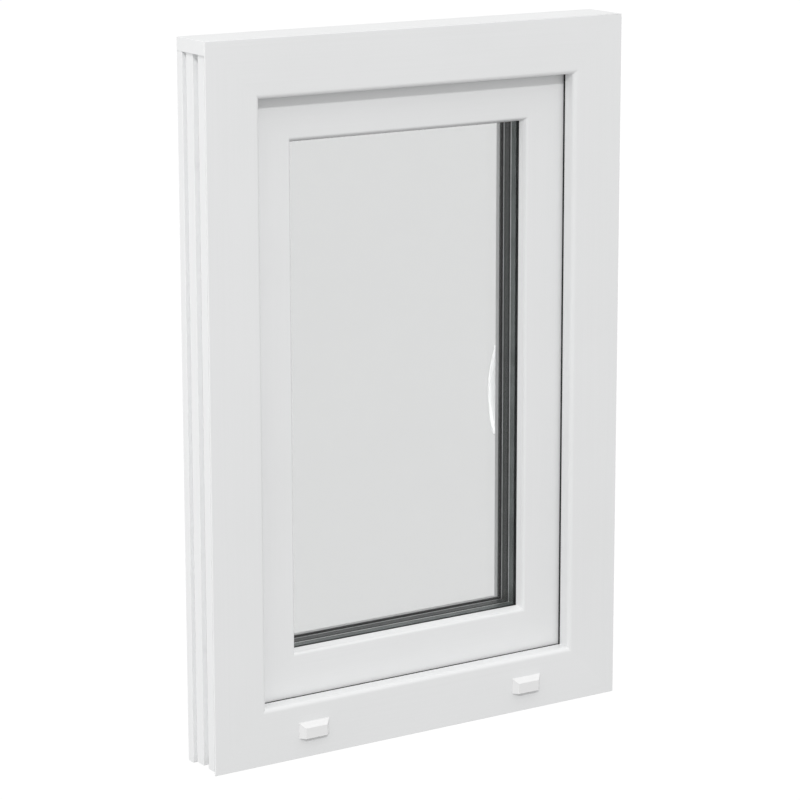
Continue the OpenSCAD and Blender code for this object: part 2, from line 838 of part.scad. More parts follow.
module rounded_bar2(w, h, r) {
    square([w - 2 * r, h], center = true);
    square([w, h - 2 * r], center = true);
    for (a = [-1, 1], b = [-1, 1])
        translate([a * (w / 2 - r), b * (h / 2 - r)]) circle(r);
}
module handle_base() {
    color("white") seated() translate([window_w / 2 - spindle_i, sash_back, spindle_z])
        difference() {
            rotate([-90, 0, 0]) linear_extrude(rose_t) rounded_bar2(rose_w, rose_h, 6);
            along_y(0, 0, neck_r + gap, -1, rose_t + 1);
            for (s = [-1, 1]) {
                along_y(0, s * rose_screw, 2.7, -1, rose_t + 1);
                along_y(0, s * rose_screw, 5, rose_t - 3.5, rose_t + 1);
            }
        }
}
module handle_screws() {
    color("gainsboro") seated() translate([window_w / 2 - spindle_i, 0, spindle_z])
        for (s = [-1, 1]) {
            along_y(0, s * rose_screw, 2.4, groove_mid + case_w / 2 - case_wall, sash_back + rose_t - 3);
            along_y(0, s * rose_screw, 4.6, sash_back + rose_t - 3.5, sash_back + rose_t - 0.5);
        }
}
// Snap-on cover over the base's screws
module handle_cover() {
    color("white") seated() translate([window_w / 2 - spindle_i, sash_back + rose_t, spindle_z])
        difference() {
            rotate([-90, 0, 0]) linear_extrude(2) rounded_bar2(rose_w, rose_h, 6);
            along_y(0, 0, neck_r + gap, -1, 3);
        }
}
// Round neck and a bowed grip that hangs from it
module handle_lever() {
    y_back = sash_back + lever_reach;
    mid = lever_len / 2 - 6;
    span = asin((lever_len / 2 - 4) / bow_r);
    color("white") seated() translate([window_w / 2 - spindle_i, 0, spindle_z]) {
        difference() {
            along_y(0, 0, neck_r, sash_back + gap, y_back - grip_t * 0.5 - bow_r * (1 - cos(span)) + 3);
            translate([-spindle_side / 2, sash_back - 1, -spindle_side / 2])
                cube([spindle_side, 26, spindle_side]);
        }
        translate([0, y_back - bow_r, -mid]) rotate([0, -90, 0]) rotate([0, 0, 90 - span])
            rotate_extrude(angle = 2 * span) translate([bow_r - grip_t / 2, 0]) rotate([0, 0, 90])
                rounded_bar2(grip_w, grip_t, grip_t * 0.42);
    }
}
module handle_spindle() {
    color("gray") seated() translate([window_w / 2 - spindle_i - spindle_side / 2,
        groove_mid - case_w / 2 + case_wall + gap, spindle_z - spindle_side / 2])
        cube([spindle_side, sash_back + 25 - groove_mid + case_w / 2 - case_wall - gap, spindle_side]);
}

frame_sill();
frame_head();
frame_jamb_hinge_side();
frame_jamb_lock_side();
frame_steel_sill();
frame_steel_head();
frame_steel_hinge_side();
frame_steel_lock_side();
head_strip();
strip_cap_left();
strip_cap_right();
frame_gasket();
drain_cap_left();
drain_cap_right();
keeper_lower();
keeper_upper();
keeper_screws();
frame_hinge_lower();
frame_hinge_upper();
hinge_pin_lower();
hinge_pin_upper();
frame_hinge_screws();
sash_bottom_rail();
sash_top_rail();
sash_stile_hinge_side();
sash_stile_lock_side();
sash_steel_bottom();
sash_steel_top();
sash_steel_hinge_side();
sash_steel_lock_side();
outer_pane();
middle_pane();
inner_pane();
outer_spacer();
inner_spacer();
glazing_gasket_outer();
glazing_gasket_inner();
glazing_blocks();
bead_bottom();
bead_top();
bead_hinge_side();
bead_lock_side();
sash_gasket();
lock_faceplate();
faceplate_screws();
gearbox_case();
drive_rod();
locking_cams();
sash_hinge_lower();
sash_hinge_upper();
sash_hinge_screws();
handle_base();
handle_screws();
handle_cover();
handle_lever();
handle_spindle();
drive_pinion();
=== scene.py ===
import json
import math

import bmesh
import bpy
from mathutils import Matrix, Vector

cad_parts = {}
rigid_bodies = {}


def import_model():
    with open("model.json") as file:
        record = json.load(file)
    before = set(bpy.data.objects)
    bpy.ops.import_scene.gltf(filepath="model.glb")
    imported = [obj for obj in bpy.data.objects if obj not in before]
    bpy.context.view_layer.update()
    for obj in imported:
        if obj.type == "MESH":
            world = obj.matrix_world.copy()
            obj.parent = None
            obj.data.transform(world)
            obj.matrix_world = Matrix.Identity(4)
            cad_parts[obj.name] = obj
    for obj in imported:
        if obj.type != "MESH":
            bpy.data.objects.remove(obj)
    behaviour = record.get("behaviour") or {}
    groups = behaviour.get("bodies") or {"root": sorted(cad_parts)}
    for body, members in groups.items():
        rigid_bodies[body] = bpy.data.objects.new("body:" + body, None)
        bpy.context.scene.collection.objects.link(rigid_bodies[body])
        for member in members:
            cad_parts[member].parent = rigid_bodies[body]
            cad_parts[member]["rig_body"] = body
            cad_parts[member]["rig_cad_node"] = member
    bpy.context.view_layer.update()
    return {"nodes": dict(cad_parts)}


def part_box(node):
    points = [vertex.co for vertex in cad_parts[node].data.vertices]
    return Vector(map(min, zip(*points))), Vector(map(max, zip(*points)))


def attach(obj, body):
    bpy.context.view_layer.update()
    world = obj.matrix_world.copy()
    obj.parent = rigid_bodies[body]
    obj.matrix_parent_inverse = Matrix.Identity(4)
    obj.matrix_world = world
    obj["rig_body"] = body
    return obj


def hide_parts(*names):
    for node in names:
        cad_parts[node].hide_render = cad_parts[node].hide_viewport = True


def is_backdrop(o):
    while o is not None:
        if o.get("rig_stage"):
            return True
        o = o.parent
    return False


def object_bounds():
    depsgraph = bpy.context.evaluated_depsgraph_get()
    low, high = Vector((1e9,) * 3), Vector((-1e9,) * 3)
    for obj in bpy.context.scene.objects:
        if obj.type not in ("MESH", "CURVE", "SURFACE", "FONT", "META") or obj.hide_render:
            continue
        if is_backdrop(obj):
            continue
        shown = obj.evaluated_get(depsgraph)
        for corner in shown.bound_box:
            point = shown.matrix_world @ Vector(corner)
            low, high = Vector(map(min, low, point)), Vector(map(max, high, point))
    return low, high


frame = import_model()

# Camera: a long lens out to the window's left and above its head, so that the grooved side
# of the hinge jamb and the top of the head show. It looks a little down.
EYE = (-1.9518, -3.1181, 1.2859)
YAW = math.radians(32.60)
TILT = math.radians(-11.83)
camera_data = bpy.data.cameras.new("camera")
camera_data.lens = 134.42
camera_data.sensor_width = 36
camera_data.shift_x = -0.0294
camera_data.shift_y = -0.09
camera = bpy.data.objects.new("camera", camera_data)
camera.location = EYE
camera.rotation_euler = (math.pi / 2 + TILT, 0, -YAW)
bpy.context.scene.collection.objects.link(camera)
bpy.context.scene.camera = camera

# Frame: four lengths of hollow white plastic profile, sawn at 45 degrees and welded at the
# corners. The extruder leaves faint lengthwise lines, soft edges and a slightly uneven gloss.
PROFILE_WHITE = 0.87
PROFILE_EDGE = 0.0007
PROFILE_LONG = 0.2
SHARP = math.radians(35)
MERGED = 1e-6
FLAT = math.radians(0.5)
FRAME_LENGTHS = {"frame_sill": False, "frame_head": False,
                 "frame_jamb_hinge_side": True, "frame_jamb_lock_side": True}


class Wire:
    """A shader socket that takes part in sums and products."""

    def __init__(self, paint, socket):
        self.paint = paint
        self.socket = socket

    def math(self, operation, first, second):
        return self.paint.node("Math", {"operation": operation}, {0: first, 1: second})

    def __add__(self, other):
        return self.math("ADD", self, other)

    def __radd__(self, other):
        return self.math("ADD", other, self)

    def __mul__(self, other):
        return self.math("MULTIPLY", self, other)

    def __rmul__(self, other):
        return self.math("MULTIPLY", other, self)

    def __pow__(self, other):
        return self.math("POWER", self, other)

    def step(self, low, high):
        settings = {"interpolation_type": "SMOOTHSTEP"}
        return self.paint.node("MapRange", settings,
                               {"Value": self, "From Min": low, "From Max": high})


class Paint:
    """A material under construction, whose patterns read the piece's own place."""

    def __init__(self, name):
        self.material = bpy.data.materials.new(name)
        self.material.use_nodes = True
        self.tree = self.material.node_tree
        self.tree.nodes.clear()
        self.out = self.tree.nodes.new("ShaderNodeOutputMaterial")
        self.place = self.node("TexCoord", {}, {}, "Object")

    def node(self, kind, settings, sockets, output=0):
        node = self.tree.nodes.new("ShaderNode" + kind)
        for key, value in settings.items():
            setattr(node, key, value)
        for key, value in sockets.items():
            if isinstance(value, Wire):
                self.tree.links.new(value.socket, node.inputs[key])
            else:
                node.inputs[key].default_value = value
        return Wire(self, node.outputs[output])

    def stretched(self, x, y, z):
        return self.node("Mapping", {}, {"Vector": self.place, "Scale": (x, y, z)})

    def noise(self, scale, detail=3.0, vector=None):
        return self.node("TexNoise", {}, {"Vector": vector or self.place, "Scale": scale,
                                          "Detail": detail})

    def cells(self, scale):
        return self.node("TexVoronoi", {}, {"Vector": self.place, "Scale": scale}, "Color")

    def blend(self, mask, dark, light):
        return self.node("Mix", {"data_type": "RGBA"}, {0: mask, 6: dark, 7: light}, 2)

    def bump(self, height, distance):
        return self.node("Bump", {}, {"Height": height, "Distance": distance})

    def principled(self, **sockets):
        named = {key.replace("_", " "): value for key, value in sockets.items()}
        return self.node("BsdfPrincipled", {}, named)

    def close(self, shader):
        self.tree.links.new(shader.socket, self.out.inputs["Surface"])
        return self.material


def tint(red, green=None, blue=None):
    return (red, red if green is None else green, red if blue is None else blue, 1)


def extruded_plastic(name, level, upright):
    paint = Paint(name)
    across, lengthwise = 700, 5
    lines = (across, across, lengthwise) if upright else (lengthwise, across, across)
    drawn = paint.noise(1.0, 2.0, paint.stretched(*lines))
    cloud = paint.noise(6.0, 4.0)
    speck = paint.noise(1400.0, 1.0)
    shade = 0.5 * cloud + 0.3 * drawn + 0.2 * speck
    dark = tint(level * 0.978, level * 0.985, level * 0.987)
    light = tint(level, level * 1.006, level * 1.01)
    colour = paint.blend(shade.step(0.35, 0.65), dark, light)
    return paint.close(paint.principled(
        Base_Color=colour,
        Roughness=0.3 + 0.12 * cloud + 0.05 * drawn,
        Normal=paint.bump(0.6 * drawn + 0.4 * speck, 0.000015),
        Coat_Weight=0.1,
        Coat_Roughness=0.15))


def pick(piece):
    bpy.ops.object.select_all(action="DESELECT")
    piece.select_set(True)
    bpy.context.view_layer.objects.active = piece


def soften(piece, edge, segments, along=None):
    """Rounds the sharp edges. With along, only long edges that run along that axis are rounded,
    so that mitred ends still meet."""
    bpy.ops.object.shade_smooth_by_angle(angle=SHARP)
    bevel = piece.modifiers.new("rounded", "BEVEL")
    bevel.width = edge
    bevel.segments = segments
    bevel.limit_method = "ANGLE"
    bevel.angle_limit = SHARP
    bevel.harden_normals = True
    if along is not None:
        bevel.limit_method = "WEIGHT"
        weights = piece.data.attributes.new("bevel_weight_edge", "FLOAT", "EDGE")
        form = bmesh.new()
        form.from_mesh(piece.data)
        for line in form.edges:
            run = line.verts[0].co - line.verts[1].co
            if abs(run[along]) > PROFILE_LONG and line.calc_face_angle(0) > SHARP:
                weights.data[line.index].value = 1.0
        form.free()
    bpy.ops.object.modifier_apply(modifier="rounded")


def fit(piece, body, slot, material, *nodes):
    """Paints a piece and ties it to its body, in the place of the CAD nodes named."""
    piece.data.materials.clear()
    piece.data.materials.append(material)
    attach(piece, body)
    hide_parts(*nodes)


def finished(node, body, slot, material, edge, segments=2, along=None):
    """A copy of a CAD node with its triangles merged and its edges rounded."""
    pick(frame["nodes"][node])
    bpy.ops.object.duplicate()
    piece = bpy.context.object
    piece.name = node + "_piece"
    piece.parent = None
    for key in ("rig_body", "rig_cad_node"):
        del piece[key]
    bpy.ops.mesh.customdata_custom_splitnormals_clear()
    bpy.ops.object.mode_set(mode="EDIT")
    bpy.ops.mesh.select_all(action="SELECT")
    bpy.ops.mesh.remove_doubles(threshold=MERGED)
    bpy.ops.mesh.dissolve_limited(angle_limit=FLAT)
    bpy.ops.object.mode_set(mode="OBJECT")
    soften(piece, edge, segments, along)
    fit(piece, body, slot, material, node)


white_level = extruded_plastic("white_profile_level", PROFILE_WHITE, False)
white_upright = extruded_plastic("white_profile_upright", PROFILE_WHITE, True)
for length, upright in FRAME_LENGTHS.items():
    finished(length, "frame", "white_frame_profile", white_upright if upright else white_level,
             PROFILE_EDGE, along=2 if upright else 0)

# Head strip: a hollow plastic strip that closes the outer grooves of the head, with a cap
# plugged into each end. Its edges are a little rounder than the profile's.
STRIP_EDGE = 0.0009
STRIP_CAP_EDGE = 0.0005
finished("head_strip", "frame", "white_strip", white_level, STRIP_EDGE, along=0)
for side in ("left", "right"):
    finished("strip_cap_" + side, "frame", "white_strip", white_level, STRIP_CAP_EDGE)

# Steel tubes: galvanised strip, roll-formed and slid into the main chambers to stiffen them.
# The zinc has the flat, feathery spangle of a hot dip.


def galvanised():
    paint = Paint("galvanised_sheet")
    spangle = paint.node("RGBToBW", {}, {0: paint.cells(160.0)})
    fine = paint.noise(900.0)
    colour = paint.blend(spangle, tint(0.42, 0.44, 0.46), tint(0.66, 0.68, 0.7))
    return paint.close(paint.principled(
        Base_Color=colour, Metallic=0.9, Roughness=0.35 + 0.2 * spangle + 0.1 * fine,
        Normal=paint.bump(spangle * 0.5 + fine * 0.5, 0.00003)))


def dress(material, *nodes):
    for name in nodes:
        mesh = frame["nodes"][name].data
        mesh.materials.clear()
        mesh.materials.append(material)


zinc_sheet = galvanised()
dress(zinc_sheet, *(f"frame_steel_{side}" for side in ("sill", "head", "hinge_side", "lock_side")))
dress(zinc_sheet, *(f"sash_steel_{side}" for side in ("bottom", "top", "hinge_side", "lock_side")))

# Seals: black rubber strips, one clipped to the back of the frame's leg, one on the sash's
# flange, and one each side of the glass. The rubber is matt and slightly mottled.
SEAL_EDGE = 0.0006
GLAZING_SEAL_EDGE = 0.0002


def black_rubber():
    paint = Paint("black_rubber")
    mottle = paint.noise(260.0, 4.0)
    dust = paint.noise(45.0, 3.0).step(0.45, 0.75)
    colour = paint.blend(dust, tint(0.012, 0.013, 0.014), tint(0.03, 0.031, 0.033))
    return paint.close(paint.principled(
        Base_Color=colour, Roughness=0.52 + 0.25 * mottle, Specular_IOR_Level=0.4,
        Normal=paint.bump(mottle, 0.00008)))


rubber = black_rubber()
finished("frame_gasket", "frame", "black_seal", rubber, SEAL_EDGE, 3)
finished("sash_gasket", "sash", "black_seal", rubber, SEAL_EDGE, 3)
for side in ("outer", "inner"):
    finished("glazing_gasket_" + side, "sash", "black_seal", rubber, GLAZING_SEAL_EDGE)

# Drain caps: small moulded hoods pressed over the slots of the sill, with a sloping top and
# sloping ends. Their plastic is smoother and a little glossier than the profile's.


def moulded_plastic(name, level):
    paint = Paint(name)
    cloud = paint.noise(25.0, 3.0)
    texture = paint.noise(1100.0, 2.0)
    colour = paint.blend(cloud.step(0.35, 0.65), tint(level * 0.985), tint(level))
    return paint.close(paint.principled(
        Base_Color=colour, Roughness=0.3 + 0.1 * cloud,
        Normal=paint.bump(texture, 0.00002)))


def block(name, low, high):
    """A box between two corners, with its place in its mesh."""
    bpy.ops.object.select_all(action="DESELECT")
    bpy.ops.mesh.primitive_cube_add(size=1)
    piece = bpy.context.object
    piece.name = name
    bpy.ops.object.mode_set(mode="EDIT")
    bpy.ops.transform.resize(value=[b - a for a, b in zip(low, high)])
    bpy.ops.transform.translate(value=[(a + b) / 2 for a, b in zip(low, high)])
    bpy.ops.object.mode_set(mode="OBJECT")
    return piece


def choose(piece, kind, test):
    """Goes into edit mode with only those edges or faces selected whose middle passes a test."""
    bpy.ops.object.mode_set(mode="EDIT")
    bpy.ops.mesh.select_mode(type=kind)
    bpy.ops.mesh.select_all(action="DESELECT")
    form = bmesh.from_edit_mesh(piece.data)
    for item in (form.edges if kind == "EDGE" else form.faces):
        middle = sum((corner.co for corner in item.verts), Vector()) / len(item.verts)
        item.select_set(test(middle))
    form.select_flush_mode()
    bmesh.update_edit_mesh(piece.data)


def complete(piece, body, slot, material, edge, segments, *nodes):
    """Rounds a new piece's edges, paints it and ties it to its body."""
    pick(piece)
    soften(piece, edge, segments)
    fit(piece, body, slot, material, *nodes)


def copied(piece, name, shift):
    """A copy with its own mesh, moved within the mesh."""
    copy = piece.copy()
    copy.data = piece.data.copy()
    copy.name = name
    bpy.context.scene.collection.objects.link(copy)
    for corner in copy.data.vertices:
        corner.co += shift
    return copy


def joined(*pieces):
    bpy.ops.object.select_all(action="DESELECT")
    for piece in pieces:
        piece.select_set(True)
    bpy.context.view_layer.objects.active = pieces[0]
    bpy.ops.object.join()
    return pieces[0]


CAP_SLOPE = 0.0062
CAP_WALL = 0.0014
CAP_EDGE = 0.0006
CAP_PEG_X = 0.013
CAP_PEG_HALF = (0.0015, 0.002)
CAP_PEG_ROOT = 0.003
NEAR = 1e-5
cap_plastic = moulded_plastic("moulded_white", 0.88)
wall_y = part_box("frame_sill")[0][1]
cap_low, cap_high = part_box("drain_cap_left")
middle_x = (cap_low[0] + cap_high[0]) / 2
middle_z = (cap_low[2] + cap_high[2]) / 2
left_cap = block("drain_hood_left", cap_low, (cap_high[0], wall_y, cap_high[2]))
choose(left_cap, "EDGE", lambda at: at.y < cap_low[1] + NEAR and at.z > middle_z - NEAR)
bpy.ops.mesh.bevel(offset=CAP_SLOPE, segments=1)
choose(left_cap, "FACE", lambda at: at.z < cap_low[2] + NEAR)
bpy.ops.mesh.inset(thickness=CAP_WALL)
hollow = {"value": (0, 0, cap_high[2] - cap_low[2] - CAP_SLOPE - CAP_WALL)}
bpy.ops.mesh.extrude_region_move(TRANSFORM_OT_translate=hollow)
bpy.ops.object.mode_set(mode="OBJECT")
pegs = []
for x in (middle_x - CAP_PEG_X, middle_x + CAP_PEG_X):
    root = (x - CAP_PEG_HALF[0], wall_y - CAP_PEG_ROOT, middle_z - CAP_PEG_HALF[1])
    tip = (x + CAP_PEG_HALF[0], cap_high[1], middle_z + CAP_PEG_HALF[1])
    pegs.append(block("peg", root, tip))
joined(left_cap, *pegs)
along_sill = Vector((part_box("drain_cap_right")[0][0] - cap_low[0], 0, 0))
right_cap = copied(left_cap, "drain_hood_right", along_sill)
complete(left_cap, "frame", "white_cap", cap_plastic, CAP_EDGE, 3, "drain_cap_left")
complete(right_cap, "frame", "white_cap", cap_plastic, CAP_EDGE, 3, "drain_cap_right")

# Sash: four welded lengths of hollow profile set back in the frame, with a clipped-in bead
# on each side of the glass indoors. It is the same white plastic as the frame.
SASH_LENGTHS = {"sash_bottom_rail": False, "sash_top_rail": False,
                "sash_stile_hinge_side": True, "sash_stile_lock_side": True,
                "bead_bottom": False, "bead_top": False,
                "bead_hinge_side": True, "bead_lock_side": True}
for length, upright in SASH_LENGTHS.items():
    finished(length, "sash", "white_sash_profile", white_upright if upright else white_level,
             PROFILE_EDGE, along=2 if upright else 0)

# Glazing: a sealed unit of clear float glass, its panes held apart by black warm-edge spacer
# bars and carried on hard plastic blocks. Each surface mirrors a little and passes the rest.
GLASS_PASSES = (0.9575, 0.959, 0.9588, 1)
PANE_EDGE = 0.0004
BAR_EDGE = 0.0003
BAR_HEIGHT = 0.0134
FOIL = 0.0015
FOIL_PROUD = 0.00025
FOIL_EDGE = 0.0001


def float_glass():
    paint = Paint("float_glass")
    facing = paint.node("LayerWeight", {}, {"Blend": 0.5}, "Facing")
    film = paint.noise(9.0, 4.0).step(0.5, 0.8)
    mirror = 0.035 + 0.002 * film + 0.95 * facing ** 5
    clear = paint.node("BsdfTransparent", {}, {"Color": GLASS_PASSES})
    gloss = paint.principled(Base_Color=tint(0.95), Metallic=1.0, Roughness=0.02)
    return paint.close(paint.node("MixShader", {}, {0: mirror, 1: clear, 2: gloss}))


def spacer_bar(name, dark, light, metal):
    paint = Paint(name)
    fine = paint.noise(900.0, 2.0)
    cloud = paint.noise(30.0, 3.0)
    colour = paint.blend(cloud.step(0.35, 0.65), tint(*dark), tint(*light))
    return paint.close(paint.principled(
        Base_Color=colour, Metallic=metal, Roughness=0.3 + 0.12 * cloud,
        Normal=paint.bump(fine, 0.00001)))


def ring(name, low, high, width):
    """A flat mitred ring, as wide as told, inside the box between two corners."""
    bpy.ops.object.select_all(action="DESELECT")
    bpy.ops.mesh.primitive_plane_add(size=1, rotation=(math.pi / 2, 0, 0))
    piece = bpy.context.object
    piece.name = name
    bpy.ops.object.transform_apply(location=False, rotation=True, scale=False)
    bpy.ops.object.mode_set(mode="EDIT")
    bpy.ops.transform.resize(value=(high[0] - low[0], 1, high[2] - low[2]))
    bpy.ops.transform.translate(value=((high[0] + low[0]) / 2, low[1], (high[2] + low[2]) / 2))
    bpy.ops.mesh.inset(thickness=width)
    bpy.ops.mesh.delete(type="FACE")
    bpy.ops.mesh.select_all(action="SELECT")
    bpy.ops.mesh.extrude_region_move(TRANSFORM_OT_translate={"value": (0, high[1] - low[1], 0)})
    bpy.ops.mesh.select_all(action="SELECT")
    bpy.ops.mesh.normals_make_consistent(inside=False)
    bpy.ops.object.mode_set(mode="OBJECT")
    return piece


clear_glass = float_glass()
for name in ("outer_pane", "middle_pane", "inner_pane"):
    finished(name, "sash", "glass", clear_glass, PANE_EDGE, 1)
foil_metal = spacer_bar("foil_metal", (0.75, 0.76, 0.77), (0.85, 0.86, 0.87), 1.0)
grey_bar = spacer_bar("grey_bar", (0.17, 0.19, 0.185), (0.22, 0.245, 0.24), 0.7)
black_bar = spacer_bar("black_bar", (0.02, 0.026, 0.024), (0.028, 0.036, 0.033), 0.0)
for name, material in (("outer_spacer", grey_bar), ("inner_spacer", black_bar)):
    finished(name, "sash", "black_spacer", material, BAR_EDGE)
    bar_low, bar_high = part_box(name)
    foil_low = (bar_low[0], bar_high[1] - FOIL, bar_low[2])
    foil = ring(name + "_foil", foil_low, bar_high, BAR_HEIGHT + FOIL_PROUD)
    complete(foil, "sash", "black_spacer", foil_metal, FOIL_EDGE, 1)
dress(moulded_plastic("block_plastic", 0.3), "glazing_blocks")

# Lock and drive: zinc-plated steel, a faceplate and rod in the sash's groove, a gearbox and
# pinion behind the handle, cams on the rod and keepers on the frame.
LOCK_EDGE = 0.0003


def plated_steel():
    paint = Paint("zinc_plated_steel")
    brushed = paint.noise(1.0, 3.0, paint.stretched(500, 500, 12))
    stain = paint.noise(40.0, 4.0)
    colour = paint.blend(stain.step(0.35, 0.7), tint(0.6, 0.6, 0.59), tint(0.74, 0.745, 0.75))
    return paint.close(paint.principled(
        Base_Color=colour, Metallic=1.0, Roughness=0.24 + 0.14 * brushed + 0.1 * stain,
        Normal=paint.bump(brushed, 0.00002)))


plated = plated_steel()
for part, body in (("lock_faceplate", "sash"), ("gearbox_case", "sash"), ("drive_rod", "drive"),
                   ("locking_cams", "drive"), ("keeper_lower", "frame"),
                   ("keeper_upper", "frame"), ("handle_spindle", "handle")):
    finished(part, body, "lock_steel", plated, LOCK_EDGE)
dress(plated, "drive_pinion", "hinge_pin_lower", "hinge_pin_upper", "keeper_screws",
      "faceplate_screws", "handle_screws")

# Hinges: cast leaves and knuckles under a white powder coat, screwed to the room side of the
# frame and the sash, and turning on steel pins. Screws stand in rows by each hinge's middle.


def powder_coat():
    paint = Paint("white_powder_coat")
    peel = paint.noise(420.0, 2.0)
    cloud = paint.noise(20.0, 3.0)
    colour = paint.blend(cloud.step(0.35, 0.65), tint(0.855, 0.86, 0.86), tint(0.88, 0.885, 0.885))
    return paint.close(paint.principled(
        Base_Color=colour, Roughness=0.26 + 0.1 * cloud, Normal=paint.bump(peel, 0.00005),
        Coat_Weight=0.2, Coat_Roughness=0.1))


HINGE_EDGE = 0.0008
SCREW_HEAD = 0.004
SCREW_HEAD_T = 0.0016
SCREW_DOME = 0.6
SCREW_EDGE = 0.00008
RECESS = 0.0024
RECESS_T = 0.0011
RECESS_HALF_W = 0.0005
RECESS_ABOVE = 0.001
HINGE_Z = (0.110, 0.790)
FRAME_SCREWS = [(-0.286, -0.028), (-0.286, 0.012), (-0.286, 0.028)]
SASH_SCREWS = [(-0.246, -0.016), (-0.246, 0.016), (-0.230, -0.016), (-0.230, 0.016)]


def cross_screw():
    """A countersunk screw that faces +Y, with a cross recess in its domed head."""
    bpy.ops.object.select_all(action="DESELECT")
    bpy.ops.mesh.primitive_cylinder_add(vertices=32, radius=SCREW_HEAD, depth=SCREW_HEAD_T,
                                        rotation=(math.pi / 2, 0, 0))
    head = bpy.context.object
    bpy.ops.object.transform_apply(location=False, rotation=True, scale=False)
    choose(head, "EDGE", lambda at: at.y > SCREW_HEAD_T / 2 - NEAR)
    bpy.ops.mesh.bevel(offset=SCREW_HEAD_T * SCREW_DOME, segments=4)
    bpy.ops.object.mode_set(mode="OBJECT")
    for turn in (0, math.pi / 2):
        reach = (RECESS, SCREW_HEAD_T / 2 + RECESS_ABOVE, RECESS_HALF_W)
        blade = block("blade", (-reach[0], SCREW_HEAD_T / 2 - RECESS_T, -reach[2]), reach)
        blade.rotation_euler.y = turn
        pick(head)
        cut = head.modifiers.new("recess", "BOOLEAN")
        cut.object = blade
        cut.operation = "DIFFERENCE"
        bpy.ops.object.modifier_apply(modifier="recess")
        bpy.data.objects.remove(blade)
    return head


first_screw = cross_screw()
for node, body, spots in (("frame_hinge_screws", "frame", FRAME_SCREWS),
                          ("sash_hinge_screws", "sash", SASH_SCREWS)):
    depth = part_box(node)[1][1] - SCREW_HEAD_T / 2
    places = [Vector((x, depth, end + z)) for end in HINGE_Z for x, z in spots]
    for number, place in enumerate(places):
        screw = copied(first_screw, f"{node}_{number}", place)
        complete(screw, body, "lock_steel", plated, SCREW_EDGE, 1, node)
bpy.data.objects.remove(first_screw)
coat = powder_coat()
for end in ("lower", "upper"):
    finished("frame_hinge_" + end, "frame", "white_painted_metal", coat, HINGE_EDGE, 3)
    finished("sash_hinge_" + end, "sash", "white_painted_metal", coat, HINGE_EDGE, 3)

# Handle: a white coated lever on a round neck, hanging from a rounded base with a snap-on
# cover that hides its screws.
BASE_EDGE = 0.0006
COVER_EDGE = 0.0009
LEVER_EDGE = 0.0016
LEVER_BOW = 0.140
LEVER_HALF = 0.061
LEVER_SPAN = math.asin(LEVER_HALF / LEVER_BOW)
SPINDLE_Z = 0.450
GRIP_AT = (0, 0.008, 0.024, 0.048, *(k / 20 for k in range(2, 21)))
GRIP_NOSE = 0.07
GRIP_HALF = (0.010, 0.0055)
NECK_R = 0.009
NECK_TOP = 0.0795
GRIP_TIP = 0.3


def girth(t):
    """The grip's girth along its length, from the rounded nose at its lower end."""
    nose = 1 - min(t, GRIP_NOSE) / GRIP_NOSE
    return GRIP_TIP + (1 - GRIP_TIP) * math.sqrt(1 - nose * nose)


finished("handle_base", "sash", "white_painted_metal", coat, BASE_EDGE)
finished("handle_cover", "sash", "white_painted_metal", coat, COVER_EDGE, 3)
lever_low, lever_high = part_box("handle_lever")
lever_x = (lever_low[0] + lever_high[0]) / 2
bow_centre = Vector((lever_x, lever_high[1] - LEVER_BOW, lever_low[2] + LEVER_HALF))
bpy.ops.object.select_all(action="DESELECT")
bpy.ops.mesh.primitive_circle_add(vertices=28, radius=1, fill_type="NGON")
grip = bpy.context.object
grip.name = "handle_lever_piece"
bpy.ops.object.mode_set(mode="EDIT")
bpy.ops.transform.resize(value=(GRIP_HALF[0] * GRIP_TIP, GRIP_HALF[1] * GRIP_TIP, 1))
bpy.ops.transform.translate(value=bow_centre + Vector((0, LEVER_BOW - GRIP_HALF[1], 0)))
about_bow = {"orient_axis": "X", "orient_type": "GLOBAL", "center_override": bow_centre}
bpy.ops.transform.rotate(value=LEVER_SPAN, **about_bow)
for t, after in zip(GRIP_AT, GRIP_AT[1:]):
    bpy.ops.mesh.extrude_region_move(TRANSFORM_OT_translate={"value": (0, 0, 0)})
    bpy.ops.transform.rotate(value=-2 * LEVER_SPAN * (after - t), **about_bow)
    growth = girth(after) / girth(t)
    bpy.ops.transform.resize(value=(growth, growth, growth))
bpy.ops.mesh.select_all(action="SELECT")
bpy.ops.mesh.normals_make_consistent(inside=False)
bpy.ops.object.mode_set(mode="OBJECT")
bpy.ops.object.select_all(action="DESELECT")
bpy.ops.mesh.primitive_cylinder_add(vertices=48, radius=NECK_R, depth=1,
                                    rotation=(math.pi / 2, 0, 0))
neck = bpy.context.object
bpy.ops.object.transform_apply(location=False, rotation=True, scale=False)
bpy.ops.object.mode_set(mode="EDIT")
bpy.ops.transform.resize(value=(1, NECK_TOP - lever_low[1], 1))
bpy.ops.transform.translate(value=(lever_x, (NECK_TOP + lever_low[1]) / 2, SPINDLE_Z))
bpy.ops.object.mode_set(mode="OBJECT")
lever = joined(grip, neck)
complete(lever, "handle", "white_painted_metal", coat, LEVER_EDGE, 4, "handle_lever")

